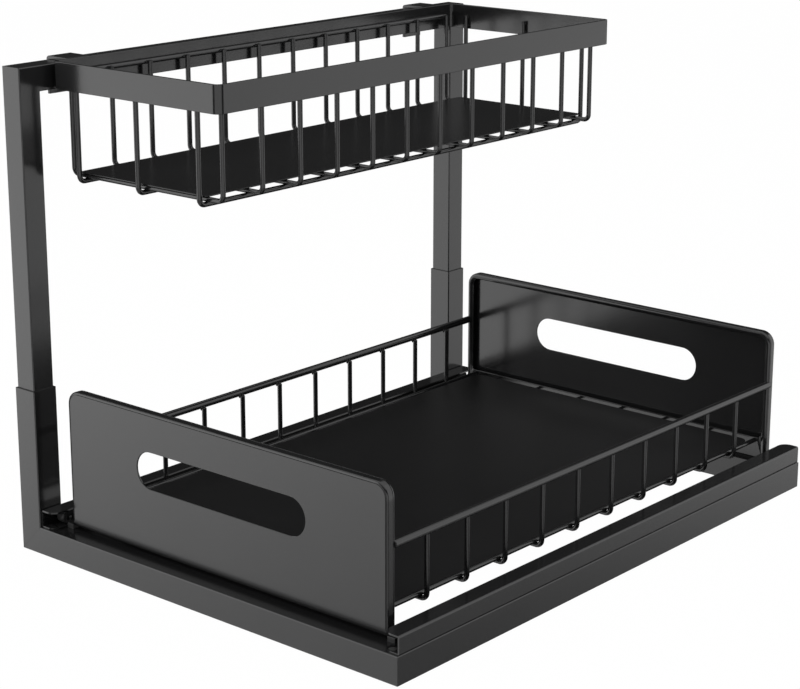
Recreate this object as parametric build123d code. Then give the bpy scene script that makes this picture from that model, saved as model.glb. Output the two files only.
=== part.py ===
from build123d import *
import os

# Two-tier under sink organizer in black painted steel.
# A square-tube base carries a wire drawer between two channel rails.
# An upper frame plugs into two sleeves at the back, and a wire basket hangs on its top bar.
# X runs along the slide, Y from the open side to the posts, Z up from the floor.

# Base and upper frame
frame_length = 400.0
frame_depth = 298.7
frame_height = 292.25
tube_side = 17.0
tube_wall = 1.0
tube_corner = 0.45
sleeve_top = 101.4
post_wall = 0.9
post_corner = 0.45
post_play = 0.05
post_seat_gap = 0.3

# Slide rails
rail_height = 10.9
rail_width = 11.3
rail_wall = 1.0
rail_bend = 1.2
rail_end_inset = 1.35
rail_end_round = 6.0
rail_screw_inset = 3.0
rail_screw_depth = 7.0
screw_head_diameter = 4.4
screw_shank_diameter = 2.5
screw_head_depth = 0.8
screw_length = 9.0
screw_hole_play = 0.05
stop_thickness = 1.0
stop_height = 2.5
stop_play = 0.3
slide_travel = 280.0

# Drawer end panels, pressed pans with a folded rim
drawer_left_gap = 11.4
drawer_right_gap = 9.3
drawer_side_gap = 5.8
panel_ground_gap = 1.5
panel_height = 84.9
panel_depth = 6.4
sheet = 1.2
panel_corner = 8.5
panel_edge_bend = 1.4
panel_outer_roll = 3.0
panel_inner_roll = 2.0
lip_width = 3.7
lip_height = 14.1
lip_corner = 8.0
slot_length = 132.0
slot_height = 22.5
slot_rise = 51.4

# Drawer wire body
drawer_rod_diameter = 4.7
drawer_rod_bite = 3.0
drawer_rod_rise = 50.7
drawer_rod_reach = 3.1
notch_play = 0.05
drawer_wire_diameter = 3.0
drawer_wire_count = 10
drawer_wire_left_margin = 37.6
drawer_wire_right_margin = 36.15
drawer_wire_inset = 4.35
drawer_wire_rise = 8.8
drawer_wire_bend = 3.9
drawer_wire_top_drop = 0.9
drawer_long_diameter = 2.0
drawer_long_count = 6
drawer_long_front_margin = 43.2
drawer_long_back_margin = 27.8
drawer_tray_thickness = 0.6
drawer_tray_edge_gap = 3.65
drawer_tray_end_gap = 3.2
drawer_tray_corner = 6.0

# Drawer runners and rollers
runner_thickness = 1.0
runner_rise = 3.3
runner_leg = 6.0
runner_mouth_depth = 1.3
roller_radius = 4.15
roller_width = 5.6
roller_rail_play = 0.05
roller_back_gap = 2.4
roller_inset = 3.0
hub_length = 0.8
hub_diameter = 5.0
axle_diameter = 2.4
axle_play = 0.05
axle_head_diameter = 4.2
axle_head_height = 0.8
axle_head_gap = 0.2
pad_length = 4.0
pad_rail_gap = 0.3
pad_play = 0.05
pad_chamfer = 0.5

# Upper basket
band_length = 358.7
band_width = 134.8
band_height = 16.1
band_thickness = 2.0
band_corner = 4.7
band_left_gap = 23.2
basket_rod_diameter = 3.0
basket_rod_drop = 7.75
basket_rod_overlap = 3.0
basket_wire_diameter = 3.0
basket_wire_count = 12
basket_wire_left_margin = 8.7
basket_wire_right_margin = 12.4
basket_wire_bend = 3.7
basket_wire_top = 1.0
basket_depth = 65.55
basket_long_pitch = 50.8
basket_plate_thickness = 0.8
basket_plate_front_margin = 17.1
basket_plate_back_margin = 13.5
basket_plate_end_margin = 6.1
basket_plate_corner = 3.0

# Hook clips on the top bar
clip_thickness = 2.0
clip_width = 17.0
clip_margin = 12.3
clip_play = 0.05
clip_bend = 1.8
clip_back_drop = 22.25

overrun = 2.0
wire_sides = 8
screw_sides = 12

# Places worked out from the sizes above
post_inset = tube_wall + post_play
post_side = tube_side - 2 * post_inset
bar_front = frame_depth - tube_side + post_inset
bar_back = bar_front + post_side
rail_back_face = frame_depth - tube_side
mid_y = rail_back_face / 2
rail_floor = tube_side + rail_wall
rail_ceiling = tube_side + rail_height - rail_wall
drawer_left = drawer_left_gap
drawer_right = frame_length - drawer_right_gap
drawer_mid_x = (drawer_left + drawer_right) / 2
drawer_front = rail_width + drawer_side_gap
drawer_back = rail_back_face - drawer_front
drawer_bottom = tube_side + panel_ground_gap
lip_left = drawer_left + panel_depth
lip_right = drawer_right - panel_depth
drawer_rod_y = drawer_front + drawer_rod_bite - drawer_rod_diameter / 2
drawer_rod_z = drawer_bottom + drawer_rod_rise
drawer_wire_y = drawer_front + drawer_wire_inset
drawer_wire_z = drawer_bottom + drawer_wire_rise
drawer_wire_first = drawer_left + drawer_wire_left_margin
drawer_wire_last = drawer_right - drawer_wire_right_margin
drawer_wire_pitch = (drawer_wire_last - drawer_wire_first) / (drawer_wire_count - 1)
drawer_edge_wire_y = drawer_wire_y + drawer_wire_bend
drawer_edge_wire_z = drawer_wire_z + drawer_wire_diameter
drawer_long_first = drawer_front + drawer_long_front_margin
drawer_long_last = drawer_back - drawer_long_back_margin
drawer_long_pitch = (drawer_long_last - drawer_long_first) / (drawer_long_count - 1)
drawer_long_z = drawer_wire_z + (drawer_wire_diameter + drawer_long_diameter) / 2
drawer_tray_z = drawer_long_z + drawer_long_diameter / 2
roller_z = rail_floor + roller_rail_play + roller_radius
roller_left_x = drawer_left + roller_inset
roller_right_x = drawer_right - roller_inset
roller_from = rail_wall + roller_back_gap
roller_to = roller_from + roller_width
runner_z = tube_side + runner_rise
leg_outer = rail_width - runner_mouth_depth
leg_inner = leg_outer + runner_thickness
band_left = band_left_gap
band_right = band_left + band_length
band_mid_x = (band_left + band_right) / 2
basket_wire_first = band_left + basket_wire_left_margin
basket_wire_last = band_right - basket_wire_right_margin
basket_wire_pitch = (basket_wire_last - basket_wire_first) / (basket_wire_count - 1)
clip_front = bar_front - clip_play - clip_thickness
clip_back = bar_back + clip_play + clip_thickness
clip_top = frame_height + clip_thickness
band_back = clip_front
band_front = band_back - band_width
band_mid_y = (band_front + band_back) / 2
band_bottom = clip_top - band_height
basket_rod_y = band_front + band_thickness + basket_rod_diameter / 2
basket_rod_z = clip_top - basket_rod_drop
basket_wire_y = basket_rod_y + (basket_rod_diameter + basket_wire_diameter) / 2
basket_wire_z = clip_top - basket_depth
basket_long_x = band_left + band_thickness + basket_wire_diameter / 2
basket_long_z = basket_wire_z - basket_wire_diameter
basket_plate_z = basket_wire_z + basket_wire_diameter / 2

# The origin is on the floor, at the middle of the whole outline
origin_x = frame_length / 2
origin_y = clip_back / 2

nodes = {}


def prism(plane, points, start, length):
    """Extrudes a closed outline drawn on a plane, from start along the plane's normal."""
    outline = make_face(Polyline(*points, close=True))
    return extrude(plane.offset(start) * outline, length)


def block(x_from, x_to, y_from, y_to, z_from, z_to):
    """A box between two corners."""
    size = Box(x_to - x_from, y_to - y_from, z_to - z_from, align=(Align.MIN, Align.MIN, Align.MIN))
    return Pos(x_from, y_from, z_from) * size


def rod_along_x(x_from, x_to, y, z, diameter):
    """A round bar along X."""
    bar = Cylinder(diameter / 2, x_to - x_from, align=(Align.CENTER, Align.CENTER, Align.MIN))
    return Pos(x_from, y, z) * Rot(0, 90, 0) * bar


def rod_along_y(y_from, y_to, x, z, diameter):
    """A round bar along Y."""
    bar = Cylinder(diameter / 2, y_to - y_from, align=(Align.CENTER, Align.CENTER, Align.MIN))
    return Pos(x, y_from, z) * Rot(-90, 0, 0) * bar


def square_tube(side, wall, corner, length):
    """A hollow square tube along Z, centred on its axis, with its long edges broken."""
    bore = side - 2 * wall
    outline = chamfer(Rectangle(side, side).vertices(), corner)
    return extrude(outline - Rectangle(bore, bore), length)


def frame_tube(length):
    return square_tube(tube_side, tube_wall, tube_corner, length)


def post_tube(length):
    return square_tube(post_side, post_wall, post_corner, length)


def faceted_wire(plane, points, bend, diameter):
    """A wire along straight runs on a plane, eight-sided, each bend made of one slanting run."""
    start = Vector(*points[0])
    stops = [start]
    half_turn = (2 ** 0.5 - 1) * bend
    for before, corner, after in zip(points, points[1:], points[2:]):
        corner = Vector(*corner)
        back = (Vector(*before) - corner).normalized()
        ahead = (Vector(*after) - corner).normalized()
        stops += [corner + back * (bend - half_turn), corner + ahead * (bend - half_turn)]
    stops.append(Vector(*points[-1]))
    path = plane * Polyline(*stops)
    facing = Plane(origin=path @ 0, x_dir=plane.z_dir, z_dir=path % 0)
    turn = 180 / wire_sides
    section = facing * RegularPolygon(diameter / 2, wire_sides, major_radius=False, rotation=turn)
    return sweep(section, path=path, transition=Transition.RIGHT)


def across_x(shape, x):
    return mirror(shape, about=Plane.YZ.offset(x))


def across_y(shape, y):
    return mirror(shape, about=Plane.XZ.offset(-y))


def make_base():
    """Front and side tubes are mitred in plan, side tubes and sleeves in the side view."""
    half = tube_side / 2
    low = -overrun
    high = tube_side + overrun
    far = frame_depth + overrun
    near = frame_depth - high

    side = Pos(half, 0, half) * Rot(-90, 0, 0) * frame_tube(frame_depth)
    side -= prism(Plane.XY, [(low, low), (high, high), (high, low)], low, high - low)
    side -= prism(Plane.YZ, [(near, high), (far, low), (far, high)], low, high - low)
    nodes["left_base_tube"] = side
    nodes["right_base_tube"] = across_x(side, frame_length / 2)

    front = Pos(0, half, half) * Rot(0, 90, 0) * frame_tube(frame_length)
    corner = prism(Plane.XY, [(low, low), (high, high), (low, high)], low, high - low)
    front -= corner
    front -= across_x(corner, frame_length / 2)
    nodes["front_base_tube"] = front

    rear = frame_tube(frame_length - 2 * tube_side)
    nodes["rear_base_tube"] = Pos(tube_side, frame_depth - half, half) * Rot(0, 90, 0) * rear

    sleeve = Pos(half, frame_depth - half, 0) * frame_tube(sleeve_top)
    sleeve -= prism(Plane.YZ, [(near, high), (far, low), (near, low)], low, high - low)
    nodes["left_post_sleeve"] = sleeve
    nodes["right_post_sleeve"] = across_x(sleeve, frame_length / 2)


def make_upper_frame():
    """Two posts stand on the base tubes' lower walls, mitred to the top bar."""
    centre_x = post_inset + post_side / 2
    centre_y = bar_front + post_side / 2
    low = post_inset - overrun
    high = post_inset + post_side + overrun
    above = frame_height + overrun
    below = frame_height - post_side - overrun
    start = -bar_back - overrun
    length = post_side + 2 * overrun

    foot = tube_wall + post_seat_gap
    post = Pos(centre_x, centre_y, foot) * post_tube(frame_height - foot)
    post -= prism(Plane.XZ, [(low, above), (high, below), (high, above)], start, length)
    nodes["left_upper_post"] = post
    nodes["right_upper_post"] = across_x(post, frame_length / 2)

    bar = post_tube(frame_length - 2 * post_inset)
    bar = Pos(post_inset, centre_y, frame_height - post_side / 2) * Rot(0, 90, 0) * bar
    corner = prism(Plane.XZ, [(low, above), (high, below), (low, below)], start, length)
    bar -= corner
    bar -= across_x(corner, frame_length / 2)
    nodes["top_bar"] = bar


def countersunk(x, y, play):
    """A flush screw, or its hole when play is given."""
    shank = RegularPolygon(screw_shank_diameter / 2 + play, screw_sides)
    head = RegularPolygon(screw_head_diameter / 2 + play, screw_sides)
    body = Pos(x, y, rail_floor - screw_length) * extrude(shank, screw_length)
    neck = Plane.XY.offset(rail_floor - screw_head_depth) * shank
    cone = loft([neck, Plane.XY.offset(rail_floor) * head], ruled=True)
    return body + Pos(x, y, 0) * cone


def make_rails():
    """C channels that open towards the drawer, with two stops lanced up from the floor."""
    left = rail_end_inset
    right = frame_length - rail_end_inset
    outer = block(left, right, 0, rail_width, tube_side, tube_side + rail_height)
    outer = fillet(outer.edges().filter_by(Axis.X).group_by(Axis.Y)[0], rail_bend)
    mouth = rail_width + overrun
    hollow = block(left - overrun, right + overrun, rail_wall, mouth, rail_floor, rail_ceiling)
    rail = outer - hollow
    rail = fillet(rail.edges().filter_by(Axis.Z).group_by(Axis.Y)[-1], rail_end_round)

    travel_stop = roller_right_x - slide_travel - roller_radius - stop_play
    home_stop = roller_right_x + roller_radius + stop_play
    for face, side in ((travel_stop, 1), (home_stop, -1)):
        back = face - side * stop_thickness
        hole_end = face + side * stop_height
        stop_top = rail_floor + stop_height
        rail += block(min(face, back), max(face, back), roller_from, roller_to, rail_floor, stop_top)
        hole = block(min(face, hole_end), max(face, hole_end), roller_from, roller_to, 0, rail_floor)
        rail -= hole

    screws = []
    screw_x = left + rail_screw_inset
    for x, tube in ((screw_x, "left_base_tube"), (frame_length - screw_x, "right_base_tube")):
        hole = countersunk(x, rail_screw_depth, screw_hole_play)
        rail -= hole
        nodes[tube] -= hole
        nodes[tube] -= across_y(hole, mid_y)
        screw = countersunk(x, rail_screw_depth, 0)
        screws += [screw, across_y(screw, mid_y)]
    nodes["front_slide_rail"] = rail
    nodes["back_slide_rail"] = across_y(rail, mid_y)
    nodes["rail_screws"] = Compound(children=screws)


def make_glide_pads():
    """Nylon pads under the runners, where the drawer leaves the base."""
    y_from = rail_width + pad_rail_gap
    y_to = drawer_front - pad_rail_gap
    top = runner_z - pad_play
    pad = block(drawer_left, drawer_left + pad_length, y_from, y_to, tube_side, top)
    pad = chamfer(pad.edges().filter_by(Axis.Y).group_by(Axis.Z)[-1], pad_chamfer)
    nodes["glide_pads"] = Compound(children=[pad, across_y(pad, mid_y)])


def pan_form(inset):
    """The left end panel's outer form, or its hollow when inset by the sheet."""
    form = block(
        drawer_left + inset,
        lip_left - inset,
        drawer_front + inset,
        drawer_back - inset,
        drawer_bottom + inset,
        drawer_bottom + panel_height - inset,
    )
    form = fillet(form.edges().filter_by(Axis.X).group_by(Axis.Z)[-1], panel_corner - inset)
    outer_edge = form.edges().filter_by(Axis.Y).group_by(Axis.Z)[0].sort_by(Axis.X)[0]
    form = fillet(outer_edge, panel_outer_roll - inset)
    inner_edge = form.edges().filter_by(Axis.Y).group_by(Axis.Z)[0].sort_by(Axis.X)[-1]
    return fillet(inner_edge, panel_inner_roll - inset)


def make_panels():
    """Pressed pans: flat outer face, folded rim, narrow lip and a taller lip at the bottom."""
    form = pan_form(0)
    top_edge = form.edges().filter_by(Axis.Y).group_by(Axis.Z)[-1].sort_by(Axis.X)[0]
    pan = chamfer(top_edge, panel_edge_bend) - pan_form(sheet)
    mouth = block(
        lip_left - sheet - overrun,
        lip_left + overrun,
        drawer_front + lip_width,
        drawer_back - lip_width,
        drawer_bottom + lip_height,
        drawer_bottom + panel_height - lip_width,
    )
    mouth = fillet(mouth.edges().filter_by(Axis.X).group_by(Axis.Z)[-1], panel_corner - lip_width)
    mouth = fillet(mouth.edges().filter_by(Axis.X).group_by(Axis.Z)[0], lip_corner)
    pan -= mouth
    slot = Plane.YZ.offset(drawer_left - overrun) * SlotOverall(slot_length, slot_height)
    slot = extrude(slot, sheet + 2 * overrun)
    pan -= Pos(0, mid_y, drawer_bottom + slot_rise) * slot
    nodes["drawer_left_panel"] = pan

    far = across_x(pan, drawer_mid_x)
    notch_diameter = drawer_rod_diameter + 2 * notch_play
    notch_end = lip_right + drawer_rod_reach + notch_play
    notch = rod_along_x(lip_right - overrun, notch_end, drawer_rod_y, drawer_rod_z, notch_diameter)
    far -= notch
    far -= across_y(notch, mid_y)
    nodes["drawer_right_panel"] = far


def make_drawer_body():
    """Rods let into the panels' sides, bent cross wires, long wires on them and the tray."""
    rod_end = lip_right + drawer_rod_reach
    rod = rod_along_x(lip_left, rod_end, drawer_rod_y, drawer_rod_z, drawer_rod_diameter)
    nodes["drawer_front_rod"] = rod
    nodes["drawer_back_rod"] = across_y(rod, mid_y)

    back_y = 2 * mid_y - drawer_wire_y
    top = drawer_rod_z - drawer_wire_top_drop
    route = [(drawer_wire_y, top), (drawer_wire_y, drawer_wire_z), (back_y, drawer_wire_z), (back_y, top)]
    wire = faceted_wire(Plane.YZ, route, drawer_wire_bend, drawer_wire_diameter)
    places = [drawer_wire_first + i * drawer_wire_pitch for i in range(drawer_wire_count)]
    nodes["drawer_cross_wires"] = Compound(children=[Pos(x, 0, 0) * wire for x in places])

    edge_run = [(lip_left, drawer_edge_wire_z), (lip_right, drawer_edge_wire_z)]
    edge = faceted_wire(Plane.XZ, edge_run, drawer_wire_bend, drawer_wire_diameter)
    edge = Pos(0, drawer_edge_wire_y, 0) * edge
    long_run = [(lip_left, drawer_long_z), (lip_right, drawer_long_z)]
    inner = faceted_wire(Plane.XZ, long_run, drawer_wire_bend, drawer_long_diameter)
    places = [drawer_long_first + i * drawer_long_pitch for i in range(drawer_long_count)]
    wires = [edge, across_y(edge, mid_y)] + [Pos(0, y, 0) * inner for y in places]
    nodes["drawer_long_wires"] = Compound(children=wires)

    tray_front = drawer_edge_wire_y + drawer_tray_edge_gap
    tray = block(
        lip_left + drawer_tray_end_gap,
        lip_right - drawer_tray_end_gap,
        tray_front,
        2 * mid_y - tray_front,
        drawer_tray_z,
        drawer_tray_z + drawer_tray_thickness,
    )
    nodes["drawer_tray"] = fillet(tray.edges().filter_by(Axis.Z), drawer_tray_corner)


def make_runners():
    """Angle runners on the panels' sides, their upright legs in the rails' mouths."""
    floor = block(drawer_left, drawer_right, leg_outer, drawer_front, runner_z, runner_z + runner_thickness)
    leg = block(drawer_left, drawer_right, leg_outer, leg_inner, runner_z, runner_z + runner_leg)
    runner = floor + leg

    bore = axle_diameter + 2 * axle_play
    wheel = rod_along_y(roller_from, roller_to, 0, roller_z, 2 * roller_radius)
    wheel += rod_along_y(roller_to, roller_to + hub_length, 0, roller_z, hub_diameter)
    wheel -= rod_along_y(roller_from - overrun, roller_to + overrun, 0, roller_z, bore)

    axles = []
    for side, x in (("left", roller_left_x), ("right", roller_right_x)):
        runner -= rod_along_y(leg_outer - overrun, leg_inner + overrun, x, roller_z, axle_diameter)
        roller = Pos(x, 0, 0) * wheel
        nodes["front_" + side + "_roller"] = roller
        nodes["back_" + side + "_roller"] = across_y(roller, mid_y)
        head_inner = roller_from - axle_head_gap
        head_outer = head_inner - axle_head_height
        axle = rod_along_y(head_inner, leg_inner, x, roller_z, axle_diameter)
        axle += rod_along_y(head_outer, head_inner, x, roller_z, axle_head_diameter)
        axles += [axle, across_y(axle, mid_y)]
    nodes["front_runner"] = runner
    nodes["back_runner"] = across_y(runner, mid_y)
    nodes["roller_axles"] = Compound(children=axles)


def make_basket():
    """A flat band with rods inside its long sides, wires welded to them and a plate."""
    ring = RectangleRounded(band_length, band_width, band_corner)
    bore_length = band_length - 2 * band_thickness
    bore_width = band_width - 2 * band_thickness
    ring -= RectangleRounded(bore_length, bore_width, band_corner - band_thickness)
    nodes["basket_band"] = Pos(band_mid_x, band_mid_y, band_bottom) * extrude(ring, band_height)

    rod_from = basket_wire_first - basket_rod_overlap
    rod_to = basket_wire_last + basket_rod_overlap
    rod = rod_along_x(rod_from, rod_to, basket_rod_y, basket_rod_z, basket_rod_diameter)
    nodes["basket_front_rod"] = rod
    nodes["basket_back_rod"] = across_y(rod, band_mid_y)

    top = basket_rod_z + basket_wire_top
    back_y = 2 * band_mid_y - basket_wire_y
    route = [(basket_wire_y, top), (basket_wire_y, basket_wire_z), (back_y, basket_wire_z), (back_y, top)]
    wire = faceted_wire(Plane.YZ, route, basket_wire_bend, basket_wire_diameter)
    places = [basket_wire_first + i * basket_wire_pitch for i in range(basket_wire_count)]
    nodes["basket_cross_wires"] = Compound(children=[Pos(x, 0, 0) * wire for x in places])

    right_x = 2 * band_mid_x - basket_long_x
    route = [(basket_long_x, top), (basket_long_x, basket_long_z), (right_x, basket_long_z), (right_x, top)]
    wire = faceted_wire(Plane.XZ, route, basket_wire_bend, basket_wire_diameter)
    wires = [Pos(0, band_mid_y + i * basket_long_pitch, 0) * wire for i in (-1, 0, 1)]
    nodes["basket_long_wires"] = Compound(children=wires)

    plate = block(
        band_left + basket_plate_end_margin,
        band_right - basket_plate_end_margin,
        band_front + basket_plate_front_margin,
        band_back - basket_plate_back_margin,
        basket_plate_z,
        basket_plate_z + basket_plate_thickness,
    )
    nodes["basket_plate"] = fillet(plate.edges().filter_by(Axis.Z), basket_plate_corner)


def make_clips():
    """Straps that hook over the top bar, welded to the back of the band."""
    left = band_left + clip_margin
    inner_front = clip_front + clip_thickness
    inner_back = clip_back - clip_thickness
    back_end = clip_top - clip_back_drop
    points = [
        (clip_front, band_bottom),
        (clip_front, clip_top),
        (clip_back, clip_top),
        (clip_back, back_end),
        (inner_back, back_end),
        (inner_back, frame_height),
        (inner_front, frame_height),
        (inner_front, band_bottom),
    ]
    strap = prism(Plane.YZ, points, left, clip_width)
    top_back = strap.edges().filter_by(Axis.X).group_by(Axis.Z)[-1].sort_by(Axis.Y)[-1]
    strap = fillet(top_back, clip_bend)
    nodes["left_hook_clip"] = strap
    nodes["right_hook_clip"] = across_x(strap, band_mid_x)


make_base()
make_upper_frame()
make_rails()
make_glide_pads()
make_panels()
make_drawer_body()
make_runners()
make_basket()
make_clips()

os.makedirs("parts", exist_ok=True)
for name, shape in nodes.items():
    export_step(Pos(-origin_x, -origin_y, 0) * shape, "parts/" + name + ".step")
print(len(nodes), "nodes written")
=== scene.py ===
import math

import bmesh
import bpy
import numpy as np
from mathutils import Matrix


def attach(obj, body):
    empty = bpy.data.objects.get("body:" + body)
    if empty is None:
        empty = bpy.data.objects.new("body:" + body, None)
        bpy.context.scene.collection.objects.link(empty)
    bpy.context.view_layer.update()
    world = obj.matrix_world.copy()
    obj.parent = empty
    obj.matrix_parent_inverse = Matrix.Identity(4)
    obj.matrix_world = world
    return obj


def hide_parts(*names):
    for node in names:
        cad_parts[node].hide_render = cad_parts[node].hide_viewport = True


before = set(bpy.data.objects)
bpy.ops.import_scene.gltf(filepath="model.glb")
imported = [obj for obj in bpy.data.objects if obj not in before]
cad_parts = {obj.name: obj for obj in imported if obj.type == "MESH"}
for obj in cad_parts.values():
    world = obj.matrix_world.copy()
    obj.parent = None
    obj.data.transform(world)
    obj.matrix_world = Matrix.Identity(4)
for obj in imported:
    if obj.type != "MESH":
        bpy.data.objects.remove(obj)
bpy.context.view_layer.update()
print("frame loaded", len(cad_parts), "nodes")

# lengths are in millimetres from the front left corner of the base, on the floor:
# x along the base, y towards the posts, z up
frameSize = {
    "length": 400.0,
    "depth": 298.7,
    "height": 292.25,
    "tube": {"side": 17.0, "wall": 1.0, "corner": 0.7, "innerCorner": 0.25},
    "post": {"side": 14.9, "wall": 0.9, "corner": 0.7, "innerCorner": 0.25},
    "sleeveTop": 101.4,
    "postFoot": 1.3,
    "endBevel": 0.06,
    "cornerSteps": 5,
    "outlineDepth": 299.7,  # with the hook clips
}
originShift = np.array([frameSize["length"] / 2, frameSize["outlineDepth"] / 2, 0.0])
railMiddle = (frameSize["depth"] - frameSize["tube"]["side"]) / 2

shading = {
    "sharpAngle": 32.0,  # degrees between two faces, from which their edge stays sharp
    "faceWeight": 60,  # how far large faces decide the shading of the edges beside them
    "weldDistance": 0.00001,  # metres
}


def unit(vector):
    # a vector divided by its own length
    return vector / np.linalg.norm(vector)


def gridPart(points, closed=False):
    # points[along, around] joined into quads; where the line isn't closed, a flat face shuts each end
    along, around = points.shape[:2]
    index = np.arange(along * around).reshape(along, around)
    rows = index if closed else index[:-1]
    nextRows = np.roll(index, -1, 0) if closed else index[1:]
    quads = np.stack([rows, np.roll(rows, -1, 1), np.roll(nextRows, -1, 1), nextRows], -1)
    faces = quads.reshape(-1, 4).tolist()
    if not closed:
        faces += [index[0][::-1].tolist(), index[-1].tolist()]
    return points.reshape(-1, 3), faces


def flattenShading(thing):
    # large flat faces look flat up to their rounded edges
    flatter = thing.modifiers.new("flatter", "WEIGHTED_NORMAL")
    flatter.weight = shading["faceWeight"]
    flatter.keep_sharp = True


def makePiece(name, parts, body, finishName, stoodFor):
    # joins the parts into one mesh, turns its faces outwards and lets it ride on its body
    vertices = []
    faces = []
    start = 0
    for points, partFaces in parts:
        vertices.append(points)
        faces += [[i + start for i in face] for face in partFaces]
        start += len(points)
    placed = (np.concatenate(vertices) - originShift) / 1000.0
    mesh = bpy.data.meshes.new(name)
    mesh.from_pydata(placed.tolist(), [], faces)
    shell = bmesh.new()
    shell.from_mesh(mesh)
    bmesh.ops.recalc_face_normals(shell, faces=shell.faces)
    shell.to_mesh(mesh)
    shell.free()
    mesh.shade_smooth()
    mesh.set_sharp_from_angle(angle=math.radians(shading["sharpAngle"]))
    piece = bpy.data.objects.new(name, mesh)
    bpy.context.scene.collection.objects.link(piece)
    mesh.materials.append(materials[finishName])
    flattenShading(piece)
    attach(piece, body)
    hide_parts(*stoodFor)


def mirrored(parts, axis, middle):
    # the same parts on the other side of a plane: place becomes 2 * middle - place on one axis
    turned = []
    for points, faces in parts:
        copy = points.copy()
        copy[:, axis] = 2 * middle - copy[:, axis]
        turned.append((copy, faces))
    return turned


def roundedRect(low, high, radii, cornerSteps=8, sideSteps=(1, 1)):
    # outline of a rectangle, counter-clockwise from its corner at low x, low y; each corner is
    # centre + radius * (cos, sin) over a quarter turn, and sides along x and along y are split evenly
    radii = np.broadcast_to(np.asarray(radii, float), (4,))
    angles = np.linspace(0, math.pi / 2, cornerSteps + 1)
    spots = [
        (low[0], low[1], 1, 1),
        (high[0], low[1], -1, 1),
        (high[0], high[1], -1, -1),
        (low[0], high[1], 1, -1),
    ]
    outline = []
    for turn, (radius, (x, y, inX, inY)) in enumerate(zip(radii, spots)):
        centre = np.array([x + inX * radius, y + inY * radius])
        swing = angles + math.pi + turn * math.pi / 2
        outline.append(centre + radius * np.stack([np.cos(swing), np.sin(swing)], 1))
    loop = []
    for turn in range(4):
        loop.append(outline[turn])
        count = sideSteps[turn % 2]
        if count > 1:
            share = np.linspace(0, 1, count + 1)[1:-1, None]
            begin = outline[turn][-1]
            end = outline[(turn + 1) % 4][0]
            loop.append(begin + (end - begin) * share)
    return np.concatenate(loop)


def bentPath(corners, bend, steps=8):
    # straight runs, and at each corner an arc that touches both runs:
    # start + bend * (sin of the turn so far * into + (1 - cos of it) * towards the bend's centre)
    corners = np.asarray(corners, float)
    points = [corners[:1]]
    share = np.linspace(0, 1, steps + 1)[:, None]
    for before, here, after in zip(corners, corners[1:], corners[2:]):
        into = unit(here - before)
        out = unit(after - here)
        turn = math.acos(float(np.clip(into @ out, -1, 1)))
        start = here - into * bend * math.tan(turn / 2)
        towards = unit(out - into * (into @ out))
        points.append(start + bend * (np.sin(share * turn) * into + (1 - np.cos(share * turn)) * towards))
    points.append(corners[-1:])
    return np.concatenate(points)


def carry(profile, path, side, scales=None):
    # each profile point goes to path + scale * (first * side + second * (tangent x side))
    tangent = np.gradient(path, axis=0)
    tangent /= np.linalg.norm(tangent, axis=1, keepdims=True)
    side = unit(np.asarray(side, float))
    up = np.cross(tangent, side)
    up /= np.linalg.norm(up, axis=1, keepdims=True)
    scales = np.ones(len(path)) if scales is None else scales
    flat = profile[None] * scales[:, None, None]
    return path[:, None] + flat[..., :1] * side + flat[..., 1:] * up[:, None]


# a cut end: how far each ring stands from it, and how wide the ring is, in shares of the radius
wireEnd = {"leads": (0.0, 0.1, 0.3), "widths": (0.7, 0.92, 1.0)}


def roundWire(corners, diameter, bend=0.0, side=(1, 0, 0), sides=16, steps=8):
    # a circle carried along a bent line and drawn in a little at both cut ends
    radius = diameter / 2
    path = bentPath(corners, bend, steps)
    first = unit(path[1] - path[0])
    last = unit(path[-2] - path[-1])
    leads = np.array(wireEnd["leads"])[:, None] * radius
    widths = np.array(wireEnd["widths"])
    path = np.concatenate([path[0] + first * leads, path[1:-1], (path[-1] + last * leads)[::-1]])
    scales = np.concatenate([widths, np.ones(len(path) - 2 * len(leads)), widths[::-1]])
    angles = np.arange(sides) * 2 * math.pi / sides
    circle = radius * np.stack([np.cos(angles), np.sin(angles)], 1)
    return gridPart(carry(circle, path, side, scales))


beadLook = {"rings": 6, "turns": 10, "poleGap": 0.12, "swell": 0.08}


def weldBead(centre, radii, lump):
    # an ellipsoid, (sin ring * cos turn, sin ring * sin turn, cos ring) * radii, whose girth
    # swells twice round it; lump turns the swelling, so that the next wire's beads differ
    look = beadLook
    rings = np.linspace(look["poleGap"], math.pi - look["poleGap"], look["rings"])[:, None]
    turns = (np.arange(look["turns"]) * 2 * math.pi / look["turns"])[None]
    girth = np.sin(rings) * (1 + look["swell"] * np.sin(2 * turns + lump) * np.sin(rings))
    points = np.stack([girth * np.cos(turns), girth * np.sin(turns), np.cos(rings) + 0 * turns], -1)
    return gridPart(points * np.asarray(radii, float) + np.asarray(centre, float))


def lathe(outline, centre, steps):
    # a closed outline of (radius, distance) pairs turned about a line along y
    radius, distance = np.asarray(outline, float).T
    angles = (np.arange(steps) * 2 * math.pi / steps)[:, None]
    points = np.stack([radius * np.cos(angles), distance + 0 * angles, radius * np.sin(angles)], -1)
    return gridPart(points + np.asarray(centre, float), closed=True)


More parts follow.
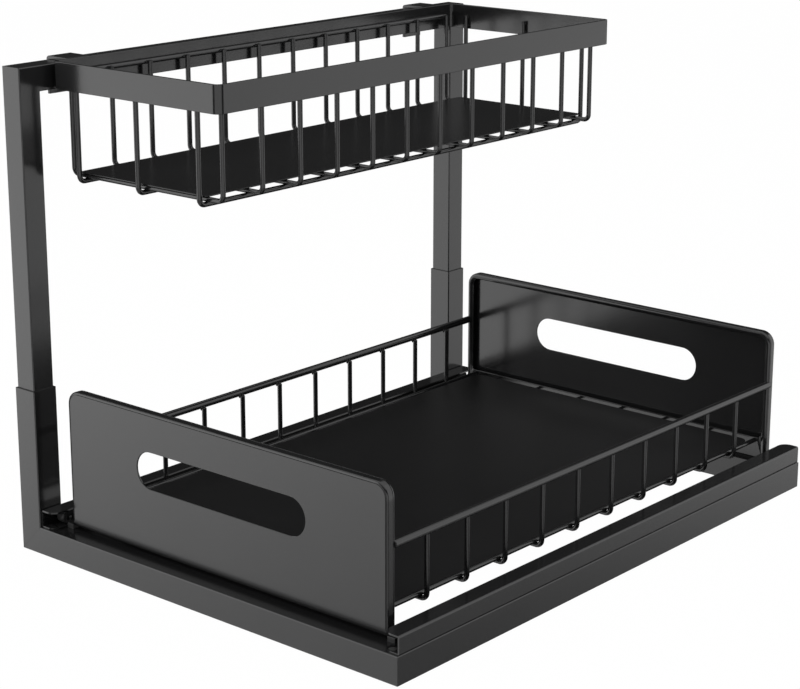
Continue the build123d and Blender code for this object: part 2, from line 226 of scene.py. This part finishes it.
class Field:
    # a value that changes over a surface: sums and products of fields add their Math nodes
    def __init__(self, tree, socket):
        self.tree = tree
        self.socket = socket

    def node(self, kind, settings=None, out=0, **inputs):
        # i0, i1 and so on name an input by its place, any other word by its own name
        made = self.tree.nodes.new(kind)
        for key, value in (settings or {}).items():
            setattr(made, key, value)
        for key, value in inputs.items():
            byPlace = key[0] == "i" and key[1:].isdigit()
            target = made.inputs[int(key[1:]) if byPlace else key]
            if isinstance(value, Field):
                self.tree.links.new(value.socket, target)
            else:
                target.default_value = value
        return Field(self.tree, made.outputs[out])

    def maths(self, operation, first, second):
        return self.node("ShaderNodeMath", {"operation": operation}, i0=first, i1=second)

    def __add__(self, other):
        return self.maths("ADD", self, other)

    def __radd__(self, other):
        return self.maths("ADD", other, self)

    def __sub__(self, other):
        return self.maths("SUBTRACT", self, other)

    def __rsub__(self, other):
        return self.maths("SUBTRACT", other, self)

    def __mul__(self, other):
        return self.maths("MULTIPLY", self, other)

    def __rmul__(self, other):
        return self.maths("MULTIPLY", other, self)

    def limited(self):
        return self.node("ShaderNodeClamp", Value=self)


def emptyTree(owner, outputKind):
    # a material's or a world's nodes, cleared down to a new output
    owner.use_nodes = True
    tree = owner.node_tree
    tree.nodes.clear()
    return tree, tree.nodes.new(outputKind)


def paintFinish(name, look):
    # sprayed and baked: fine orange peel, a little grain, and slow changes of tone
    material = bpy.data.materials.new(name)
    tree, output = emptyTree(material, "ShaderNodeOutputMaterial")
    shader = tree.nodes.new("ShaderNodeBsdfPrincipled")
    tree.links.new(shader.outputs[0], output.inputs["Surface"])
    start = Field(tree, None)
    place = start.node("ShaderNodeTexCoord", out=3)
    slow = start.node("ShaderNodeTexNoise", Vector=place, Scale=look["toneScale"], Detail=3.0)
    peel = start.node("ShaderNodeTexNoise", Vector=place, Scale=look["peelScale"], Detail=2.0)
    grain = start.node("ShaderNodeTexNoise", Vector=place, Scale=look["grainScale"], Detail=1.0)
    tone = start.node(
        "ShaderNodeMix",
        {"data_type": "RGBA"},
        out=2,
        Factor=(slow * look["toneGain"] - look["toneCut"]).limited(),
        i6=(*look["deep"], 1.0),
        i7=(*look["light"], 1.0),
    )
    tree.links.new(tone.socket, shader.inputs["Base Color"])
    rough = look["roughness"] + (slow - 0.5) * look["roughSlow"] + (grain - 0.5) * look["roughGrain"]
    tree.links.new(rough.socket, shader.inputs["Roughness"])
    height = peel * look["peelHeight"] + grain * look["grainHeight"]
    bump = start.node("ShaderNodeBump", Strength=1.0, Distance=look["bumpDistance"], Height=height)
    tree.links.new(bump.socket, shader.inputs["Normal"])
    shader.inputs["IOR"].default_value = look["ior"]
    shader.inputs["Metallic"].default_value = look["metallic"]
    shader.inputs["Specular IOR Level"].default_value = look["level"]
    return material


# satin black powder coat; scales are noise cells for each metre, bumpDistance is in metres
coat = {
    "deep": (0.0095, 0.0095, 0.0098),
    "light": (0.0125, 0.0125, 0.0128),
    "toneScale": 30.0,
    "toneGain": 1.6,
    "toneCut": 0.3,
    "peelScale": 700.0,
    "peelHeight": 0.01,
    "grainScale": 2600.0,
    "grainHeight": 0.006,
    "bumpDistance": 0.001,
    "roughness": 0.17,
    "roughSlow": 0.02,
    "roughGrain": 0.05,
    "ior": 1.5,
    "level": 0.5,
    "metallic": 0.0,
}
# what each finish has of its own; the tray and the basket's plate are matter than the tubes, and the plate
# is also made darker as painted shade
finishes = {
    "tubePaint": {},
    "wirePaint": {"roughness": 0.15},
    "panelPaint": {},
    "trayPaint": {
        "roughness": 0.4,
        "deep": (0.0075, 0.0075, 0.0077),
        "light": (0.0088, 0.0088, 0.009),
        "level": 0.2,
    },
    # painted shade: the plate's colour is made darker than the coat, to take back the extra light the
    # overhead lamp gives it
    "platePaintWithPaintedShade": {
        "roughness": 0.24,
        "deep": (0.0072, 0.0072, 0.0074),
        "light": (0.0085, 0.0085, 0.0087),
        "level": 0.35,
    },
    "bandPaint": {},
    "railPaint": {},
    # painted shade: the runners' colour is made darker than the coat, standing in for the shade inside the
    # rails; their low gloss is roughness
    "runnerPaintWithPaintedShade": {
        "roughness": 0.5,
        "deep": (0.004, 0.004, 0.0041),
        "light": (0.006, 0.006, 0.0061),
        "level": 0.08,
    },
    "blackNylon": {"roughness": 0.5, "deep": (0.02, 0.02, 0.02), "light": (0.03, 0.03, 0.03)},
    "zincPlate": {
        "roughness": 0.35,
        "deep": (0.35, 0.35, 0.35),
        "light": (0.5, 0.5, 0.5),
        "metallic": 1.0,
    },
}
materials = {name: paintFinish(name, {**coat, **changes}) for name, changes in finishes.items()}
print("finishes made")


def squareTube(section, axis, centre, start, end):
    # a rounded square carried along an axis and its bore carried back; each end is a plane, so a
    # point's place along the axis is a fixed number plus a share of its two other places
    across, up = [i for i in range(3) if i != axis]
    bevel = frameSize["endBevel"]

    def ring(half, radius, plane, offset):
        loop = roundedRect((-half, -half), (half, half), radius, frameSize["cornerSteps"])
        points = np.zeros((len(loop), 3))
        points[:, across] = loop[:, 0] + centre[0]
        points[:, up] = loop[:, 1] + centre[1]
        base, slopes = plane
        points[:, axis] = base + points @ np.asarray(slopes, float) + offset
        return points

    outer = section["side"] / 2
    inner = outer - section["wall"]
    corner = section["corner"]
    rings = [
        ring(outer - bevel, corner - bevel, start, 0),
        ring(outer, corner, start, bevel),
        ring(outer, corner, end, -bevel),
        ring(outer - bevel, corner - bevel, end, 0),
        ring(inner, section["innerCorner"], end, 0),
        ring(inner, section["innerCorner"], start, 0),
    ]
    return gridPart(np.stack(rings), closed=True)


def buildFrame():
    # a row is a tube's piece, node and axis, its section's middle, and its start and end planes
    length = frameSize["length"]
    depth = frameSize["depth"]
    height = frameSize["height"]
    tube = frameSize["tube"]["side"]
    post = frameSize["post"]["side"]
    top = frameSize["sleeveTop"]
    foot = frameSize["postFoot"]
    half = tube / 2
    right = length - half
    back = depth - half
    barMiddle = height - post / 2
    mitre = height + (tube - post) / 2
    flat = (0, 0, 0)
    thick = [
        ("leftBaseTube", "left_base_tube", 1, (half, half), (0, (1, 0, 0)), (depth, (0, 0, -1))),
        ("rightBaseTube", "right_base_tube", 1, (right, half), (length, (-1, 0, 0)), (depth, (0, 0, -1))),
        ("frontBaseTube", "front_base_tube", 0, (half, half), (0, (0, 1, 0)), (length, (0, -1, 0))),
        ("rearBaseTube", "rear_base_tube", 0, (back, half), (tube, flat), (length - tube, flat)),
        ("leftPostSleeve", "left_post_sleeve", 2, (half, back), (depth, (0, -1, 0)), (top, flat)),
        ("rightPostSleeve", "right_post_sleeve", 2, (right, back), (depth, (0, -1, 0)), (top, flat)),
    ]
    thin = [
        ("leftUpperPost", "left_upper_post", 2, (half, back), (foot, flat), (mitre, (-1, 0, 0))),
        ("rightUpperPost", "right_upper_post", 2, (right, back), (foot, flat), (mitre - length, (1, 0, 0))),
        ("topBar", "top_bar", 0, (back, barMiddle), (mitre, (0, 0, -1)), (length - mitre, (0, 0, 1))),
    ]
    for section, body, tubes in (("tube", "base_frame", thick), ("post", "upper_frame", thin)):
        for name, node, axis, centre, start, end in tubes:
            part = squareTube(frameSize[section], axis, centre, start, end)
            makePiece(name, [part], body, "tubePaint", [node])


buildFrame()
print("frame tubes made")


panelSize = {
    "left": 11.4,
    "right": 390.7,
    "front": 16.5,
    "back": 265.0,
    "bottom": 18.5,
    "height": 85.5,
    "depth": 6.4,
    "sheet": 1.2,
    "corner": 8.5,
    "footCorner": 1.5,
    "leastCorner": 0.12,
    "mouthCorner": 2.5,
    "slotLength": 132.0,
    "slotHeight": 22.5,
    "slotRise": 50.9,
    "slotBevel": 0.22,
    "sideSteps": (60, 40),
    # rings past this depth or this inset form the lip, and from lipFoot over lipReach their
    # lower corners open from the foot's corner to the mouth's
    "lipDepth": 4.35,
    "lipInset": 3.0,
    "lipFoot": 2.0,
    "lipReach": 12.1,
    # (inset from the outline, depth from the face): a pressed line, a tight shoulder, the side,
    # a second line, the rolled bead of the lip, and the way back inside
    "rim": [
        (1.72, 0.0), (1.62, 0.4), (1.36, 0.4), (1.26, 0.0),
        (1.1, 0.0), (0.76, 0.05), (0.45, 0.21), (0.21, 0.45), (0.05, 0.76), (0.0, 1.1),
        (0.0, 4.2), (0.3, 4.3), (0.3, 4.55), (0.0, 4.65),
        (0.05, 5.2), (0.27, 5.8), (0.7, 6.2), (1.3, 6.4),
        (2.3, 6.35), (3.3, 5.9), (3.95, 5.3), (4.2, 4.6),
        (4.15, 4.1), (3.7, 4.0), (1.7, 4.0), (1.25, 3.8),
        (1.2, 3.5), (1.2, 1.7), (1.35, 1.3), (1.8, 1.2),
    ],
    # the same rings along the foot: a wide roll, a short side, a narrow roll and the tall lip
    "foot": [
        (3.9, 0.0), (3.6, 0.0), (3.4, 0.0), (3.2, 0.0),
        (3.0, 0.0), (2.07, 0.15), (1.24, 0.57), (0.57, 1.24), (0.15, 2.07), (0.0, 3.0),
        (0.0, 3.3), (0.0, 3.6), (0.0, 3.9), (0.0, 4.15),
        (0.0, 4.4), (0.15, 5.17), (0.59, 5.81), (1.23, 6.25),
        (2.0, 6.4), (8.0, 6.4), (13.85, 6.4), (14.1, 6.15),
        (14.1, 5.45), (13.85, 5.2), (8.0, 5.2), (2.2, 5.2),
        (1.4, 4.6), (1.25, 3.3), (1.9, 1.9), (3.4, 1.2),
    ],
}


def slotLoop(directions, grow):
    # where a ray from the slot's centre leaves a bar with half round ends: on its straight edge at
    # radius / up, or else on an end's circle, which stands at reach
    radius = panelSize["slotHeight"] / 2 + grow
    reach = panelSize["slotLength"] / 2 - panelSize["slotHeight"] / 2
    across = np.abs(directions[:, 0])
    up = np.abs(directions[:, 1])
    straight = radius / np.maximum(up, 1e-9)
    rounded = reach * across + np.sqrt(np.maximum(radius**2 - (reach * up) ** 2, 0))
    distance = np.where(radius * across <= reach * up, straight, rounded)
    return directions * distance[:, None]


def panelShell():
    # rings round the pan, from the slot over the face, the rim and the lip and back inside;
    # every ring has the same points, so ring and point number are the two parameters
    size = panelSize
    low = np.array([size["front"], size["bottom"]])
    high = np.array([size["back"], size["bottom"] + size["height"]])

    def ring(side, foot):
        onLip = side[1] > size["lipDepth"] or side[0] > size["lipInset"]
        opening = np.clip((foot[0] - size["lipFoot"]) / size["lipReach"], 0, 1) if onLip else 0.0
        tight = max(size["footCorner"] - min(side[0], foot[0]), size["leastCorner"])
        lower = tight + (size["mouthCorner"] - tight) * opening
        upper = size["corner"] - side[0]
        radii = (lower, lower, upper, upper)
        loop = roundedRect(low + (side[0], foot[0]), high - side[0], radii, sideSteps=size["sideSteps"])
        share = np.clip((loop[:, 1] - low[1] - foot[0]) / size["footCorner"], 0, 1)
        return np.column_stack([size["left"] + foot[1] + (side[1] - foot[1]) * share, loop])

    shell = [ring(side, foot) for side, foot in zip(size["rim"], size["foot"])]
    middle = np.array([railMiddle, size["bottom"] + size["slotRise"]])
    directions = shell[0][:, 1:] - middle
    directions /= np.linalg.norm(directions, axis=1, keepdims=True)

    def slotRing(grow, depth):
        loop = slotLoop(directions, grow) + middle
        return np.column_stack([np.full(len(loop), size["left"] + depth), loop])

    bevel = size["slotBevel"]
    sheet = size["sheet"]
    outside = [slotRing(0, bevel), slotRing(bevel, 0)]
    inside = [slotRing(bevel, sheet), slotRing(0, sheet - bevel)]
    return gridPart(np.stack([*outside, *shell, *inside]), closed=True)


def buildPanels():
    # the right panel is the left one mirrored
    left = [panelShell()]
    right = mirrored(left, 0, (panelSize["left"] + panelSize["right"]) / 2)
    makePiece("drawerLeftPanel", left, "drawer", "panelPaint", ["drawer_left_panel"])
    makePiece("drawerRightPanel", right, "drawer", "panelPaint", ["drawer_right_panel"])


drawerWires = {
    "rod": 4.7,
    "rodSides": 28,
    "rodFront": 17.75,
    "rodHeight": 69.2,
    "rodLeft": 17.0,
    "rodRight": 387.4,
    "wire": 3.0,
    "count": 10,
    "first": 49.0,
    "pitch": 33.95,
    "inset": 21.45,
    "bottom": 27.3,
    "top": 68.3,
    "bend": 3.9,
    "bendSteps": 9,
    "beadAside": 1.1,
    "beadDrop": 0.6,
    "beadRadii": (0.8, 0.55, 1.3),
    "edgeInset": 25.35,
    "edgeHeight": 30.3,
    "long": 2.0,
    "longHeight": 29.8,
    "longFirst": 60.3,
    "longPitch": 35.3,
    "longCount": 6,
}
drawerFar = 2 * railMiddle  # y and drawerFar - y are one place on the two long sides


def buildDrawerRods():
    # a straight bar along the top of each long side
    size = drawerWires
    for name, node, y in (
        ("drawerFrontRod", "drawer_front_rod", size["rodFront"]),
        ("drawerBackRod", "drawer_back_rod", drawerFar - size["rodFront"]),
    ):
        ends = [(size["rodLeft"], y, size["rodHeight"]), (size["rodRight"], y, size["rodHeight"])]
        rod = roundWire(ends, size["rod"], side=(0, 1, 0), sides=size["rodSides"])
        makePiece(name, [rod], "drawer", "wirePaint", [node])


def buildDrawerCrossWires():
    # wires down one side, under the tray and up the other, with two weld beads at each rod
    size = drawerWires
    near = size["inset"]
    far = drawerFar - size["inset"]
    touch = (size["rodFront"] + size["rod"] / 2 + size["inset"] - size["wire"] / 2) / 2
    parts = []
    for i in range(size["count"]):
        x = size["first"] + i * size["pitch"]
        route = [(x, near, size["top"]), (x, near, size["bottom"])]
        route += [(x, far, size["bottom"]), (x, far, size["top"])]
        parts.append(roundWire(route, size["wire"], size["bend"], steps=size["bendSteps"]))
        for y in (touch, drawerFar - touch):
            for side in (-1, 1):
                spot = (x + side * size["beadAside"], y, size["top"] - size["beadDrop"])
                parts.append(weldBead(spot, size["beadRadii"], i))
    makePiece("drawerCrossWires", parts, "drawer", "wirePaint", ["drawer_cross_wires"])


def buildDrawerLongWires():
    # thin wires that carry the tray, and a thicker one beside each of its long edges
    size = drawerWires
    left = panelSize["left"] + panelSize["depth"]
    right = panelSize["right"] - panelSize["depth"]
    places = [size["longFirst"] + i * size["longPitch"] for i in range(size["longCount"])]
    runs = [(y, size["longHeight"], size["long"]) for y in places]
    for y in (size["edgeInset"], drawerFar - size["edgeInset"]):
        runs.append((y, size["edgeHeight"], size["wire"]))
    parts = [roundWire([(left, y, z), (right, y, z)], across, side=(0, 1, 0)) for y, z, across in runs]
    makePiece("drawerLongWires", parts, "drawer", "wirePaint", ["drawer_long_wires"])


sheetRound = 0.3  # how far in the middle of a rounded edge lies, as a share of its radius


def flatSheet(size, bottom):
    # rings up a thin plate's rounded edge, closed by its two flat faces
    edge = size["edge"]
    near = edge * sheetRound
    top = bottom + size["thickness"]
    rings = []
    for inset, z in (
        (edge, bottom),
        (near, bottom + near),
        (0, bottom + edge),
        (0, top - edge),
        (near, top - near),
        (edge, top),
    ):
        low = np.asarray(size["low"]) + inset
        high = np.asarray(size["high"]) - inset
        loop = roundedRect(low, high, size["corner"] - inset, size["cornerSteps"])
        rings.append(np.column_stack([loop, np.full(len(loop), z)]))
    return gridPart(np.stack(rings))


traySize = {
    "low": (21.0, 26.8),
    "high": (381.1, 252.7),
    "thickness": 0.6,
    "corner": 6.0,
    "cornerSteps": 10,
    "edge": 0.2,
}


def buildDrawerTray():
    # the sheet lies on the long wires
    sheet = flatSheet(traySize, drawerWires["longHeight"] + drawerWires["long"] / 2)
    makePiece("drawerTray", [sheet], "drawer", "trayPaint", ["drawer_tray"])


rollerSize = {
    "radius": 4.15,
    "start": 3.4,
    "width": 5.6,
    "hub": 2.5,
    "hubLength": 0.8,
    "bore": 1.25,
    "bevel": 0.4,
    "height": 22.2,
    "places": {"Left": 14.4, "Right": 387.7},
    "steps": 40,
}


def buildRollers():
    # bevelled wheels with a short hub towards the drawer
    size = rollerSize
    start = size["start"]
    end = start + size["width"]
    outline = [
        (size["bore"], start),
        (size["radius"] - size["bevel"], start),
        (size["radius"], start + size["bevel"]),
        (size["radius"], end - size["bevel"]),
        (size["radius"] - size["bevel"], end),
        (size["hub"], end),
        (size["hub"], end + size["hubLength"]),
        (size["bore"], end + size["hubLength"]),
    ]
    for side, x in size["places"].items():
        front = [lathe(outline, (x, 0, size["height"]), size["steps"])]
        back = mirrored(front, 1, railMiddle)
        for name, parts in (("front", front), ("back", back)):
            node = f"{name}_{side.lower()}_roller"
            makePiece(f"{name}{side}Roller", parts, node, "blackNylon", [node])


buildPanels()
buildDrawerRods()
buildDrawerCrossWires()
buildDrawerLongWires()
buildDrawerTray()
buildRollers()
print("drawer made")


bandSize = {
    "left": 23.2,
    "right": 381.9,
    "front": 145.9,
    "back": 280.7,
    "bottom": 278.15,
    "top": 294.25,
    "thickness": 2.0,
    "corner": 4.7,
    "cornerSteps": 10,
    "edge": 0.35,
    "edgePoints": 5,
}


def buildBand():
    # the strip's section, all four edges rounded, carried round a rounded rectangle
    size = bandSize
    outline = []
    for angle in np.linspace(0, math.pi / 2, size["edgePoints"]):
        inset = size["edge"] * (1 - math.sin(angle))
        outline.append((inset, size["bottom"] + size["edge"] * (1 - math.cos(angle))))
    outline += [(inset, size["top"] + size["bottom"] - z) for inset, z in outline[::-1]]
    outline += [(size["thickness"] - inset, z) for inset, z in outline[::-1]]
    rings = []
    for inset, z in outline:
        low = np.array([size["left"], size["front"]]) + inset
        high = np.array([size["right"], size["back"]]) - inset
        loop = roundedRect(low, high, size["corner"] - inset, size["cornerSteps"])
        rings.append(np.column_stack([loop, np.full(len(loop), z)]))
    band = gridPart(np.stack(rings), closed=True)
    makePiece("basketBand", [band], "basket", "bandPaint", ["basket_band"])


basketWires = {
    "rod": 3.0,
    "rodHeight": 286.5,
    "rodOverlap": 3.0,
    "wire": 3.0,
    "count": 12,
    "first": 31.9,
    "span": 337.6,
    "top": 287.5,
    "bottom": 228.7,
    "bend": 3.7,
    "bendSteps": 9,
    "beadAside": 1.2,
    "beadRadii": (0.9, 0.8, 1.1),
    "longPlaces": (165.6, 214.6, 264.1),
    "longBeadHeights": (280.5, 286.0),
    "longBeadRadii": (0.7, 1.5, 1.6),
}
basketFar = bandSize["front"] + bandSize["back"]  # the same for the basket
basketRodFront = bandSize["front"] + bandSize["thickness"] + basketWires["rod"] / 2


def buildBasketRods():
    # a straight bar inside each long side of the band
    size = basketWires
    for name, node, y in (
        ("basketFrontRod", "basket_front_rod", basketRodFront),
        ("basketBackRod", "basket_back_rod", basketFar - basketRodFront),
    ):
        left = size["first"] - size["rodOverlap"]
        right = size["first"] + size["span"] + size["rodOverlap"]
        ends = [(left, y, size["rodHeight"]), (right, y, size["rodHeight"])]
        rod = roundWire(ends, size["rod"], side=(0, 1, 0))
        makePiece(name, [rod], "basket", "wirePaint", [node])


def buildBasketCrossWires():
    # wires down from one rod, under the plate and up to the other, two weld beads at each rod
    size = basketWires
    near = basketRodFront + (size["rod"] + size["wire"]) / 2
    far = basketFar - near
    pitch = size["span"] / (size["count"] - 1)
    parts = []
    for i in range(size["count"]):
        x = size["first"] + i * pitch
        route = [(x, near, size["top"]), (x, near, size["bottom"])]
        route += [(x, far, size["bottom"]), (x, far, size["top"])]
        parts.append(roundWire(route, size["wire"], size["bend"], steps=size["bendSteps"]))
        for y in (near - size["wire"] / 2, far + size["wire"] / 2):
            for side in (-1, 1):
                spot = (x + side * size["beadAside"], y, size["rodHeight"])
                parts.append(weldBead(spot, size["beadRadii"], i))
    makePiece("basketCrossWires", parts, "basket", "wirePaint", ["basket_cross_wires"])


def buildBasketLongWires():
    # wires under the cross wires and up both ends of the band, two weld beads at each end
    size = basketWires
    radius = size["wire"] / 2
    left = bandSize["left"] + bandSize["thickness"] + radius
    right = bandSize["right"] - bandSize["thickness"] - radius
    low = size["bottom"] - size["wire"]
    parts = []
    for i, y in enumerate(size["longPlaces"]):
        route = [(left, y, size["top"]), (left, y, low), (right, y, low), (right, y, size["top"])]
        parts.append(roundWire(route, size["wire"], size["bend"], side=(0, 1, 0), steps=size["bendSteps"]))
        for x in (left - radius, right + radius):
            for z in size["longBeadHeights"]:
                parts.append(weldBead((x, y, z), size["longBeadRadii"], i))
    makePiece("basketLongWires", parts, "basket", "wirePaint", ["basket_long_wires"])


plateSize = {
    "low": (29.3, 163.0),
    "high": (375.8, 267.2),
    "thickness": 0.8,
    "corner": 3.0,
    "cornerSteps": 10,
    "edge": 0.3,
}


def buildBasketPlate():
    # the sheet lies on the cross wires
    sheet = flatSheet(plateSize, basketWires["bottom"] + basketWires["wire"] / 2)
    makePiece("basketPlate", [sheet], "basket", "platePaintWithPaintedShade", ["basket_plate"])


clipSize = {
    "thickness": 2.0,
    "width": 17.0,
    "left": 35.5,
    "right": 352.6,
    "tail": 272.0,
    "bend": 1.05,
    "bendSteps": 6,
    "edge": 0.35,
    "edgeSteps": 4,
}


def buildClips():
    # a strap from the band's back over the top bar and down behind it
    size = clipSize
    half = size["thickness"] / 2
    profile = roundedRect(
        (-size["width"] / 2, -half), (size["width"] / 2, half), size["edge"], size["edgeSteps"]
    )
    front = bandSize["back"] + half
    back = frameSize["outlineDepth"] - half
    top = bandSize["top"] - half
    for name, node, left in (
        ("leftHookClip", "left_hook_clip", size["left"]),
        ("rightHookClip", "right_hook_clip", size["right"]),
    ):
        x = left + size["width"] / 2
        route = [(x, front, bandSize["bottom"]), (x, front, top), (x, back, top), (x, back, size["tail"])]
        path = bentPath(route, size["bend"], size["bendSteps"])
        strap = gridPart(carry(profile, path, (1, 0, 0)))
        makePiece(name, [strap], "basket", "bandPaint", [node])


buildBand()
buildBasketRods()
buildBasketCrossWires()
buildBasketLongWires()
buildBasketPlate()
buildClips()
print("basket made")


nodeFinishes = {
    "front_slide_rail": "railPaint",
    "back_slide_rail": "railPaint",
    # the runners take the darker colour that is painted shade
    "front_runner": "runnerPaintWithPaintedShade",
    "back_runner": "runnerPaintWithPaintedShade",
    "glide_pads": "blackNylon",
    "rail_screws": "zincPlate",
    "roller_axles": "zincPlate",
}


def dressNode(node, finishName):
    # the node's own mesh, merged and shaded smooth up to its sharp edges
    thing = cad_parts[node]
    for spot in thing.material_slots:
        spot.link = "DATA"
        spot.material = materials[finishName]
    thing.data.shade_smooth()
    weld = thing.modifiers.new("weld", "WELD")
    weld.merge_threshold = shading["weldDistance"]
    split = thing.modifiers.new("edges", "EDGE_SPLIT")
    split.split_angle = math.radians(shading["sharpAngle"])
    flattenShading(thing)


for node, finishName in nodeFinishes.items():
    dressNode(node, finishName)
print("rails and small parts dressed")


white = (1.0, 1.0, 1.0, 1.0)
floorLook = {"side": 12.0, "drop": 0.0006, "colour": 0.85, "cameraShare": 0.992}


def buildFloor():
    # pale floor: nearly pure white to the camera, with a faint soft shadow; no reflection shows it
    half = floorLook["side"] / 2
    mesh = bpy.data.meshes.new("floor")
    drop = -floorLook["drop"]
    corners = [(-half, -half, drop), (half, -half, drop), (half, half, drop), (-half, half, drop)]
    mesh.from_pydata(corners, [], [(0, 1, 2, 3)])
    floor = bpy.data.objects.new("floor", mesh)
    bpy.context.scene.collection.objects.link(floor)
    material = bpy.data.materials.new("paleFloor")
    tree, output = emptyTree(material, "ShaderNodeOutputMaterial")
    start = Field(tree, None)
    camera = start.node("ShaderNodeLightPath", out=0)
    through = start.node("ShaderNodeLightPath", out=6)
    share = (camera + through).limited() * floorLook["cameraShare"]
    lit = start.node("ShaderNodeBsdfDiffuse", Color=(*[floorLook["colour"]] * 3, 1.0))
    plain = start.node("ShaderNodeEmission", Color=white, Strength=1.0)
    seen = start.node("ShaderNodeMixShader", i0=share, i1=lit, i2=plain)
    tree.links.new(seen.socket, output.inputs["Surface"])
    mesh.materials.append(material)
    floor.visible_glossy = False


# what the gloss sees: upright panels round a dim room, and a pale ceiling. A panel is at full
# strength up to full degrees either side of its azimuth and gone at edge degrees. Heights are the
# z of a direction: a panel has low everywhere, gains rise over riseFrom, and fades out over fade.
roomLook = {
    "dim": 0.03,
    "diffuse": 0.3,
    "riseFrom": (-0.41, -0.26),
    "ceiling": {"light": 1.1, "edge": (0.6, 0.74)},
}
roomPanels = {
    "left": {"azimuth": 126.0, "full": 22.0, "edge": 32.0, "low": 1.17, "rise": 1.1, "fade": (0.5, 0.75)},
    "camera": {"azimuth": 228.0, "full": 44.0, "edge": 52.0, "low": 0.7, "rise": 0.6, "fade": (0.05, 0.35)},
    "right": {"azimuth": 326.0, "full": 18.0, "edge": 28.0, "low": 0.33, "rise": 1.0, "fade": (0.6, 0.75)},
    "back": {"azimuth": 41.0, "full": 40.0, "edge": 50.0, "low": 0.06, "rise": 0.0, "fade": (-0.1, 0.0)},
}


def buildWorld():
    # white behind the object; reflections see three pale panels and a nearly dark one at the back,
    # and everything else gets a plain dim light
    world = bpy.data.worlds.new("room")
    bpy.context.scene.world = world
    tree, output = emptyTree(world, "ShaderNodeOutputWorld")
    start = Field(tree, None)
    towards = start.node("ShaderNodeTexCoord", out=0)
    height = start.node("ShaderNodeSeparateXYZ", out=2, Vector=towards)
    level = start.node("ShaderNodeVectorMath", {"operation": "MULTIPLY"}, i0=towards, i1=(1.0, 1.0, 0.0))
    flat = start.node("ShaderNodeVectorMath", {"operation": "NORMALIZE"}, i0=level)

    def ramp(value, begin, end):
        smooth = {"interpolation_type": "SMOOTHSTEP"}
        return start.node("ShaderNodeMapRange", smooth, Value=value, i1=begin, i2=end)

    rise = ramp(height, *roomLook["riseFrom"])
    ceiling = roomLook["ceiling"]
    strength = ramp(height, *ceiling["edge"]) * ceiling["light"] + roomLook["dim"]
    for panel in roomPanels.values():
        azimuth, full, edge = (math.radians(panel[key]) for key in ("azimuth", "full", "edge"))
        aim = (math.cos(azimuth), math.sin(azimuth), 0.0)
        near = start.node("ShaderNodeVectorMath", {"operation": "DOT_PRODUCT"}, out=1, i0=flat, i1=aim)
        across = ramp(near, math.cos(edge), math.cos(full))
        down = 1 - ramp(height, *panel["fade"])
        strength = strength + across * down * (rise * panel["rise"] + panel["low"])
    camera = start.node("ShaderNodeLightPath", out=0)
    glossy = start.node("ShaderNodeLightPath", out=3)
    dim = start.node("ShaderNodeBackground", Color=white, Strength=roomLook["diffuse"])
    room = start.node("ShaderNodeBackground", Color=white, Strength=strength)
    plain = start.node("ShaderNodeBackground", Color=white, Strength=1.0)
    both = start.node("ShaderNodeMixShader", i0=glossy, i1=dim, i2=room)
    seen = start.node("ShaderNodeMixShader", i0=camera, i1=both, i2=plain)
    tree.links.new(seen.socket, output.inputs["Surface"])


def placeMatrix(right, up, back, place):
    # a matrix whose columns are three directions and a place
    rows = np.stack([right, up, back], 1)
    return Matrix([[*row, part] for row, part in zip(rows, place)] + [[0, 0, 0, 1]])


# places and sizes in metres, power in watts
lamps = {
    "overheadSoft": {"place": (-0.2, -0.3, 1.6), "aim": (0.0, 0.0, 0.1), "size": 1.4, "power": 13.0},
    "leftSoft": {"place": (-1.7, 0.6, 0.8), "aim": (0.0, 0.0, 0.1), "size": 1.0, "power": 14.0},
    "rightFrontSoft": {"place": (0.9, -1.6, 0.8), "aim": (0.0, 0.0, 0.1), "size": 1.0, "power": 8.0},
}


def buildLamps():
    # soft lamps for the paint's own colour; what the gloss shows is the room's panels
    for name, spec in lamps.items():
        light = bpy.data.lights.new(name, "AREA")
        light.shape = "SQUARE"
        light.size = spec["size"]
        light.energy = spec["power"]
        lamp = bpy.data.objects.new(name, light)
        bpy.context.scene.collection.objects.link(lamp)
        lamp.visible_glossy = False
        place = np.array(spec["place"])
        away = unit(place - np.array(spec["aim"]))
        side = unit(np.cross((0, 0, 1), away))
        lamp.matrix_world = placeMatrix(side, np.cross(away, side), away, place)


view = {
    "place": (-0.956367, -0.802163, 0.472033),  # metres
    "heading": 40.852983,  # degrees from +x towards +y
    "dip": 15.557893,  # degrees below level
    "roll": 0.009965,  # degrees
    "lens": 95.05184,
    "sensor": 36.0,
    "shift": (0.0065747, -0.024394),
    "clip": (0.05, 50.0),
}


def buildCamera():
    # forward from heading and dip; right starts level and is turned towards down by the roll
    heading, dip, roll = (math.radians(view[key]) for key in ("heading", "dip", "roll"))
    reach = math.cos(dip)
    forward = np.array([reach * math.cos(heading), reach * math.sin(heading), -math.sin(dip)])
    level = np.array([math.sin(heading), -math.cos(heading), 0.0])
    right = math.cos(roll) * level + math.sin(roll) * np.cross(forward, level)
    data = bpy.data.cameras.new("viewCamera")
    camera = bpy.data.objects.new("viewCamera", data)
    bpy.context.scene.collection.objects.link(camera)
    camera.matrix_world = placeMatrix(right, np.cross(right, forward), -forward, view["place"])
    data.sensor_width = view["sensor"]
    data.sensor_fit = "HORIZONTAL"
    data.lens = view["lens"]
    data.shift_x, data.shift_y = view["shift"]
    data.clip_start, data.clip_end = view["clip"]
    bpy.context.scene.camera = camera


buildFloor()
buildWorld()
buildLamps()
buildCamera()
bpy.context.scene.view_settings.view_transform = "Standard"
print("stage, lamps and camera made")

bpy.context.view_layer.update()
